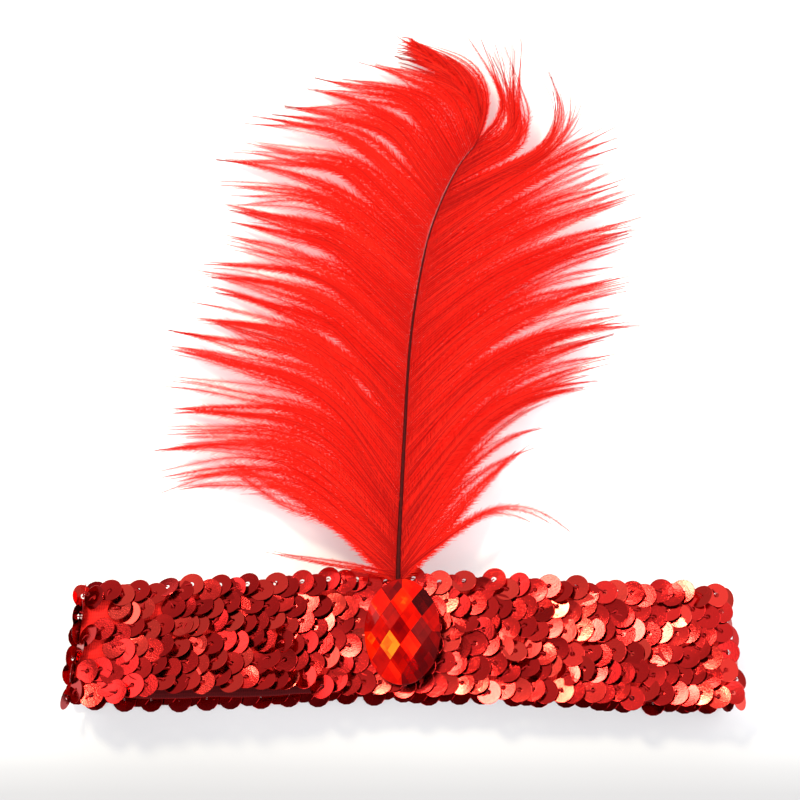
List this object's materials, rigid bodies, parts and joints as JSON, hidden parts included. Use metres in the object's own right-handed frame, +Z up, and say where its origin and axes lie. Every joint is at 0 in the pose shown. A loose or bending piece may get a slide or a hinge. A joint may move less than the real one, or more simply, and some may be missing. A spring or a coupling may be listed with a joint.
{
  "type": "sequin headband with gem and feather",
  "caption": "Stretch headband of red sequins lying flat, with an oval faceted gem at the front and an ostrich plume standing out from under it.",
  "frame": {"origin": "on the surface that it lies on, under the middle of the whole object's box", "axes": "+X along the flattened band to the right as pictured, +Y towards the tip of the plume, +Z up"},
  "size_m": [0.1606, 0.1756, 0.022],
  "materials": {
    "elastic": "woven elastic, matt, dark red",
    "sequin": "metallised film, glossy red with gold glints",
    "gem": "clear red acrylic over foil, polished facets",
    "quill": "dyed quill, dark maroon, slight gloss",
    "plume": "dyed ostrich barbs, soft bright red"
  },
  "bodies": {
    "root": {"band": "elastic", "sequins": "sequin", "gem": "gem", "feather_shaft": "quill", "feather_vane_left": "plume", "feather_vane_right": "plume"}
  },
  "joints": []
}
